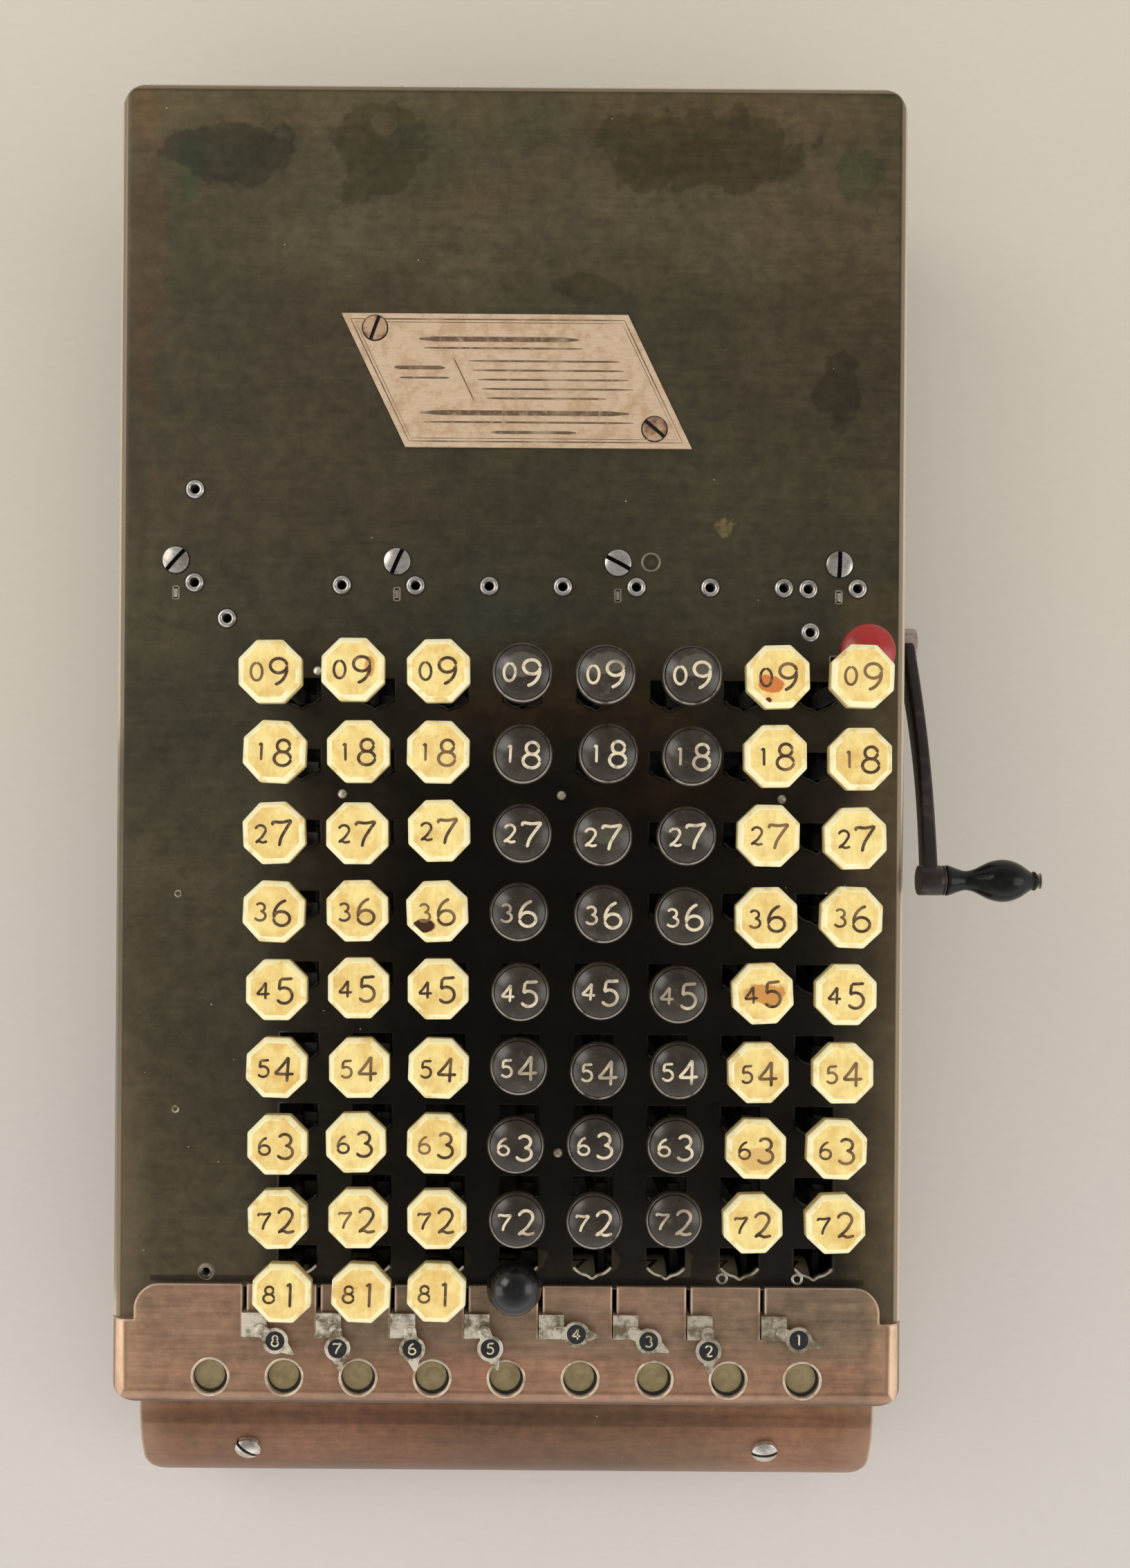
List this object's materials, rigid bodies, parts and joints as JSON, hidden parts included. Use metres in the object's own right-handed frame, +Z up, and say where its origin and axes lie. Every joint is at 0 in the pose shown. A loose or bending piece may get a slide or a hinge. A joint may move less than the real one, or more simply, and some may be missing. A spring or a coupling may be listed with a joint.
{
  "type": "key-driven adding machine",
  "caption": "Desk adding machine with columns of digit keys, a row of number windows, cutoff levers with swinging pointers, a red release key and a zero crank at the right.",
  "frame": {"origin": "middle of the whole machine's box at table level, under the cast pads", "axes": "+X to the operator's right, +Y to the back, +Z up"},
  "size_m": [0.2398, 0.379, 0.1421],
  "materials": {
    "base": "dark enamel",
    "case": "worn bronze lacquer",
    "cover": "worn copper bronze",
    "toe": "worn copper bronze",
    "plate": "brushed nickel silver",
    "frame": "mill steel",
    "shafts": "turned steel",
    "fasteners": "nickel plated",
    "keys": "aged ivory celluloid",
    "black_keys": "black celluloid",
    "red": "red celluloid",
    "levers": "stamped steel",
    "wheels": "lacquered",
    "nickel": "nickel plated",
    "arm": "browned iron",
    "handle": "black lacquered"
  },
  "bodies": {
    "housing": {"base_pan": "base", "case_shell": "case", "number_cover": "cover", "front_toe": "toe", "name_plate": "plate", "mechanism_frame": "frame", "frame_shafts": "shafts", "screws_and_rivets": "fasteners"},
    "key_row_1": {"key_row_1": "keys"},
    "key_row_2": {"key_row_2": "keys"},
    "key_row_3": {"key_row_3": "keys"},
    "key_row_4": {"key_row_4": "keys"},
    "key_row_5": {"key_row_5": "keys"},
    "key_row_6": {"key_row_6": "keys"},
    "key_row_7": {"key_row_7": "keys"},
    "key_row_8": {"key_row_8": "keys"},
    "key_9_column_1": {"key_9_column_1": "keys"},
    "key_9_column_2": {"key_9_column_2": "keys"},
    "key_9_column_3": {"key_9_column_3": "keys"},
    "key_9_column_4": {"key_9_column_4": "black_keys"},
    "key_9_column_5": {"key_9_column_5": "black_keys"},
    "key_9_column_6": {"key_9_column_6": "black_keys"},
    "key_9_column_7": {"key_9_column_7": "keys"},
    "key_9_column_8": {"key_9_column_8": "keys"},
    "column_lever_1": {"column_lever_1": "levers"},
    "column_lever_2": {"column_lever_2": "levers"},
    "column_lever_3": {"column_lever_3": "levers"},
    "column_lever_4": {"column_lever_4": "levers"},
    "column_lever_5": {"column_lever_5": "levers"},
    "column_lever_6": {"column_lever_6": "levers"},
    "column_lever_7": {"column_lever_7": "levers"},
    "column_lever_8": {"column_lever_8": "levers"},
    "number_wheel_0": {"number_wheel_0": "wheels"},
    "number_wheel_1": {"number_wheel_1": "wheels"},
    "number_wheel_2": {"number_wheel_2": "wheels"},
    "number_wheel_3": {"number_wheel_3": "wheels"},
    "number_wheel_4": {"number_wheel_4": "wheels"},
    "number_wheel_5": {"number_wheel_5": "wheels"},
    "number_wheel_6": {"number_wheel_6": "wheels"},
    "number_wheel_7": {"number_wheel_7": "wheels"},
    "number_wheel_8": {"number_wheel_8": "wheels"},
    "cutoff_lever_1": {"cutoff_lever_1": "nickel"},
    "cutoff_lever_2": {"cutoff_lever_2": "nickel"},
    "cutoff_lever_3": {"cutoff_lever_3": "nickel"},
    "cutoff_lever_4": {"cutoff_lever_4": "nickel"},
    "cutoff_lever_5": {"cutoff_lever_5": "nickel"},
    "cutoff_lever_6": {"cutoff_lever_6": "nickel"},
    "cutoff_lever_7": {"cutoff_lever_7": "nickel"},
    "cutoff_lever_8": {"cutoff_lever_8": "nickel"},
    "pointer_1": {"pointer_1": "nickel"},
    "pointer_2": {"pointer_2": "nickel"},
    "pointer_3": {"pointer_3": "nickel"},
    "pointer_4": {"pointer_4": "nickel"},
    "pointer_5": {"pointer_5": "nickel"},
    "pointer_6": {"pointer_6": "nickel"},
    "pointer_7": {"pointer_7": "nickel"},
    "pointer_8": {"pointer_8": "nickel"},
    "crank_arm": {"crank_arm": "arm"},
    "crank_handle": {"crank_handle": "handle"},
    "release_key": {"release_key": "red"}
  },
  "joints": [
    {"name": "row_1_press", "type": "slide", "parent": "housing", "child": "key_row_1", "axis": [0, 0, -1], "range_m": [0, 0.00187], "stiffness_N_per_m": 300, "springref_m": -0.004},
    {"name": "row_2_press", "type": "slide", "parent": "housing", "child": "key_row_2", "axis": [0, 0, -1], "range_m": [0, 0.00348], "stiffness_N_per_m": 300, "springref_m": -0.004},
    {"name": "row_3_press", "type": "slide", "parent": "housing", "child": "key_row_3", "axis": [0, 0, -1], "range_m": [0, 0.00482], "stiffness_N_per_m": 300, "springref_m": -0.004},
    {"name": "row_4_press", "type": "slide", "parent": "housing", "child": "key_row_4", "axis": [0, 0, -1], "range_m": [0, 0.00588], "stiffness_N_per_m": 300, "springref_m": -0.004},
    {"name": "row_5_press", "type": "slide", "parent": "housing", "child": "key_row_5", "axis": [0, 0, -1], "range_m": [0, 0.00668], "stiffness_N_per_m": 300, "springref_m": -0.004},
    {"name": "row_6_press", "type": "slide", "parent": "housing", "child": "key_row_6", "axis": [0, 0, -1], "range_m": [0, 0.00721], "stiffness_N_per_m": 300, "springref_m": -0.004},
    {"name": "row_7_press", "type": "slide", "parent": "housing", "child": "key_row_7", "axis": [0, 0, -1], "range_m": [0, 0.00746], "stiffness_N_per_m": 300, "springref_m": -0.004},
    {"name": "row_8_press", "type": "slide", "parent": "housing", "child": "key_row_8", "axis": [0, 0, -1], "range_m": [0, 0.00745], "stiffness_N_per_m": 300, "springref_m": -0.004},
    {"name": "lever_1_swing", "type": "hinge", "parent": "housing", "child": "column_lever_1", "pos_m": [-0.06875, 0.13845, 0.0636], "axis": [1, 0, 0], "range_deg": [0, 3.79], "stiffness_Nm_per_rad": 2, "springref_deg": -5.73},
    {"name": "key_9_1_press", "type": "slide", "parent": "housing", "child": "key_9_column_1", "axis": [0, 0, -1], "range_m": [0, 0.0072]},
    {"name": "lever_2_swing", "type": "hinge", "parent": "housing", "child": "column_lever_2", "pos_m": [-0.0497, 0.13845, 0.0636], "axis": [1, 0, 0], "range_deg": [0, 3.79], "stiffness_Nm_per_rad": 2, "springref_deg": -5.73},
    {"name": "key_9_2_press", "type": "slide", "parent": "housing", "child": "key_9_column_2", "axis": [0, 0, -1], "range_m": [0, 0.0072]},
    {"name": "lever_3_swing", "type": "hinge", "parent": "housing", "child": "column_lever_3", "pos_m": [-0.03065, 0.13845, 0.0636], "axis": [1, 0, 0], "range_deg": [0, 3.79], "stiffness_Nm_per_rad": 2, "springref_deg": -5.73},
    {"name": "key_9_3_press", "type": "slide", "parent": "housing", "child": "key_9_column_3", "axis": [0, 0, -1], "range_m": [0, 0.0072]},
    {"name": "lever_4_swing", "type": "hinge", "parent": "housing", "child": "column_lever_4", "pos_m": [-0.0116, 0.13845, 0.0636], "axis": [1, 0, 0], "range_deg": [0, 3.79], "stiffness_Nm_per_rad": 2, "springref_deg": -5.73},
    {"name": "key_9_4_press", "type": "slide", "parent": "housing", "child": "key_9_column_4", "axis": [0, 0, -1], "range_m": [0, 0.0072]},
    {"name": "lever_5_swing", "type": "hinge", "parent": "housing", "child": "column_lever_5", "pos_m": [0.00745, 0.13845, 0.0636], "axis": [1, 0, 0], "range_deg": [0, 3.79], "stiffness_Nm_per_rad": 2, "springref_deg": -5.73},
    {"name": "key_9_5_press", "type": "slide", "parent": "housing", "child": "key_9_column_5", "axis": [0, 0, -1], "range_m": [0, 0.0072]},
    {"name": "lever_6_swing", "type": "hinge", "parent": "housing", "child": "column_lever_6", "pos_m": [0.0265, 0.13845, 0.0636], "axis": [1, 0, 0], "range_deg": [0, 3.79], "stiffness_Nm_per_rad": 2, "springref_deg": -5.73},
    {"name": "key_9_6_press", "type": "slide", "parent": "housing", "child": "key_9_column_6", "axis": [0, 0, -1], "range_m": [0, 0.0072]},
    {"name": "lever_7_swing", "type": "hinge", "parent": "housing", "child": "column_lever_7", "pos_m": [0.04555, 0.13845, 0.0636], "axis": [1, 0, 0], "range_deg": [0, 3.79], "stiffness_Nm_per_rad": 2, "springref_deg": -5.73},
    {"name": "key_9_7_press", "type": "slide", "parent": "housing", "child": "key_9_column_7", "axis": [0, 0, -1], "range_m": [0, 0.0072]},
    {"name": "lever_8_swing", "type": "hinge", "parent": "housing", "child": "column_lever_8", "pos_m": [0.0646, 0.13845, 0.0636], "axis": [1, 0, 0], "range_deg": [0, 3.79], "stiffness_Nm_per_rad": 2, "springref_deg": -5.73},
    {"name": "key_9_8_press", "type": "slide", "parent": "housing", "child": "key_9_column_8", "axis": [0, 0, -1], "range_m": [0, 0.0072]},
    {"name": "wheel_0_turn", "type": "hinge", "parent": "housing", "child": "number_wheel_0", "pos_m": [-0.0938, -0.13635, 0.0636], "axis": [1, 0, 0], "continuous": true},
    {"name": "wheel_1_turn", "type": "hinge", "parent": "housing", "child": "number_wheel_1", "pos_m": [-0.07475, -0.13635, 0.0636], "axis": [1, 0, 0], "range_deg": [-325, 1]},
    {"name": "wheel_2_turn", "type": "hinge", "parent": "housing", "child": "number_wheel_2", "pos_m": [-0.0557, -0.13635, 0.0636], "axis": [1, 0, 0], "range_deg": [-325, 1]},
    {"name": "wheel_3_turn", "type": "hinge", "parent": "housing", "child": "number_wheel_3", "pos_m": [-0.03665, -0.13635, 0.0636], "axis": [1, 0, 0], "range_deg": [-325, 1]},
    {"name": "wheel_4_turn", "type": "hinge", "parent": "housing", "child": "number_wheel_4", "pos_m": [-0.0176, -0.13635, 0.0636], "axis": [1, 0, 0], "range_deg": [-325, 1]},
    {"name": "wheel_5_turn", "type": "hinge", "parent": "housing", "child": "number_wheel_5", "pos_m": [0.00145, -0.13635, 0.0636], "axis": [1, 0, 0], "range_deg": [-325, 1]},
    {"name": "wheel_6_turn", "type": "hinge", "parent": "housing", "child": "number_wheel_6", "pos_m": [0.0205, -0.13635, 0.0636], "axis": [1, 0, 0], "range_deg": [-325, 1]},
    {"name": "wheel_7_turn", "type": "hinge", "parent": "housing", "child": "number_wheel_7", "pos_m": [0.03955, -0.13635, 0.0636], "axis": [1, 0, 0], "range_deg": [-325, 1]},
    {"name": "wheel_8_turn", "type": "hinge", "parent": "housing", "child": "number_wheel_8", "pos_m": [0.0586, -0.13635, 0.0636], "axis": [1, 0, 0], "range_deg": [-325, 1]},
    {"name": "cutoff_1_swing", "type": "hinge", "parent": "housing", "child": "cutoff_lever_1", "pos_m": [-0.0851, -0.12505, 0.04], "axis": [-1, 0, 0], "range_deg": [0, 4.6], "stiffness_Nm_per_rad": 0.05, "springref_deg": -11.46},
    {"name": "pointer_1_turn", "type": "hinge", "parent": "cutoff_lever_1", "child": "pointer_1", "pos_m": [-0.0804, -0.13235, 0.0907], "axis": [0, 0, 1], "range_deg": [-54, 36]},
    {"name": "cutoff_2_swing", "type": "hinge", "parent": "housing", "child": "cutoff_lever_2", "pos_m": [-0.06605, -0.12505, 0.04], "axis": [-1, 0, 0], "range_deg": [0, 4.6], "stiffness_Nm_per_rad": 0.05, "springref_deg": -11.46},
    {"name": "pointer_2_turn", "type": "hinge", "parent": "cutoff_lever_2", "child": "pointer_2", "pos_m": [-0.06135, -0.13235, 0.0907], "axis": [0, 0, 1], "range_deg": [-7, 83]},
    {"name": "cutoff_3_swing", "type": "hinge", "parent": "housing", "child": "cutoff_lever_3", "pos_m": [-0.047, -0.12505, 0.04], "axis": [-1, 0, 0], "range_deg": [0, 4.6], "stiffness_Nm_per_rad": 0.05, "springref_deg": -11.46},
    {"name": "pointer_3_turn", "type": "hinge", "parent": "cutoff_lever_3", "child": "pointer_3", "pos_m": [-0.0423, -0.13235, 0.0907], "axis": [0, 0, 1], "range_deg": [-8, 82]},
    {"name": "cutoff_4_swing", "type": "hinge", "parent": "housing", "child": "cutoff_lever_4", "pos_m": [-0.02795, -0.12505, 0.04], "axis": [-1, 0, 0], "range_deg": [0, 4.6], "stiffness_Nm_per_rad": 0.05, "springref_deg": -11.46},
    {"name": "pointer_4_turn", "type": "hinge", "parent": "cutoff_lever_4", "child": "pointer_4", "pos_m": [-0.02325, -0.13235, 0.0907], "axis": [0, 0, 1], "range_deg": [-20, 70]},
    {"name": "cutoff_5_swing", "type": "hinge", "parent": "housing", "child": "cutoff_lever_5", "pos_m": [-0.0089, -0.12505, 0.04], "axis": [-1, 0, 0], "range_deg": [0, 4.6], "stiffness_Nm_per_rad": 0.05, "springref_deg": -11.46},
    {"name": "pointer_5_turn", "type": "hinge", "parent": "cutoff_lever_5", "child": "pointer_5", "pos_m": [-0.0042, -0.13235, 0.0907], "axis": [0, 0, 1], "range_deg": [-85, 5]},
    {"name": "cutoff_6_swing", "type": "hinge", "parent": "housing", "child": "cutoff_lever_6", "pos_m": [0.01015, -0.12505, 0.04], "axis": [-1, 0, 0], "range_deg": [0, 4.6], "stiffness_Nm_per_rad": 0.05, "springref_deg": -11.46},
    {"name": "pointer_6_turn", "type": "hinge", "parent": "cutoff_lever_6", "child": "pointer_6", "pos_m": [0.01485, -0.13235, 0.0907], "axis": [0, 0, 1], "range_deg": [-62, 28]},
    {"name": "cutoff_7_swing", "type": "hinge", "parent": "housing", "child": "cutoff_lever_7", "pos_m": [0.0292, -0.12505, 0.04], "axis": [-1, 0, 0], "range_deg": [0, 4.6], "stiffness_Nm_per_rad": 0.05, "springref_deg": -11.46},
    {"name": "pointer_7_turn", "type": "hinge", "parent": "cutoff_lever_7", "child": "pointer_7", "pos_m": [0.0339, -0.13235, 0.0907], "axis": [0, 0, 1], "range_deg": [-3, 87]},
    {"name": "cutoff_8_swing", "type": "hinge", "parent": "housing", "child": "cutoff_lever_8", "pos_m": [0.04825, -0.12505, 0.04], "axis": [-1, 0, 0], "range_deg": [0, 4.6], "stiffness_Nm_per_rad": 0.05, "springref_deg": -11.46},
    {"name": "pointer_8_turn", "type": "hinge", "parent": "cutoff_lever_8", "child": "pointer_8", "pos_m": [0.05295, -0.13235, 0.0907], "axis": [0, 0, 1], "range_deg": [-71, 19]},
    {"name": "crank_pull", "type": "hinge", "parent": "housing", "child": "crank_arm", "pos_m": [0.09075, 0.04835, 0.056], "axis": [1, 0, 0], "range_deg": [0, 60], "stiffness_Nm_per_rad": 0.1, "springref_deg": -34.38},
    {"name": "handle_spin", "type": "hinge", "parent": "crank_arm", "child": "crank_handle", "pos_m": [0.10675, -0.016, 0.08601], "axis": [1, 0, 0], "continuous": true},
    {"name": "release_press", "type": "slide", "parent": "housing", "child": "release_key", "axis": [0, 0, -1], "range_m": [0, 0.005], "stiffness_N_per_m": 200, "springref_m": -0.003}
  ],
  "couplings": [
    {"joint": "key_9_1_press", "follows": "lever_1_swing", "m_per_rad": 0.10828},
    {"joint": "key_9_2_press", "follows": "lever_2_swing", "m_per_rad": 0.10828},
    {"joint": "key_9_3_press", "follows": "lever_3_swing", "m_per_rad": 0.10828},
    {"joint": "key_9_4_press", "follows": "lever_4_swing", "m_per_rad": 0.10828},
    {"joint": "key_9_5_press", "follows": "lever_5_swing", "m_per_rad": 0.10828},
    {"joint": "key_9_6_press", "follows": "lever_6_swing", "m_per_rad": 0.10828},
    {"joint": "key_9_7_press", "follows": "lever_7_swing", "m_per_rad": 0.10828},
    {"joint": "key_9_8_press", "follows": "lever_8_swing", "m_per_rad": 0.10828},
    {"joint": "wheel_1_turn", "follows": "lever_1_swing", "ratio": -85.415},
    {"joint": "wheel_2_turn", "follows": "lever_2_swing", "ratio": -85.415},
    {"joint": "wheel_3_turn", "follows": "lever_3_swing", "ratio": -85.415},
    {"joint": "wheel_4_turn", "follows": "lever_4_swing", "ratio": -85.415},
    {"joint": "wheel_5_turn", "follows": "lever_5_swing", "ratio": -85.415},
    {"joint": "wheel_6_turn", "follows": "lever_6_swing", "ratio": -85.415},
    {"joint": "wheel_7_turn", "follows": "lever_7_swing", "ratio": -85.415},
    {"joint": "wheel_8_turn", "follows": "lever_8_swing", "ratio": -85.415}
  ]
}
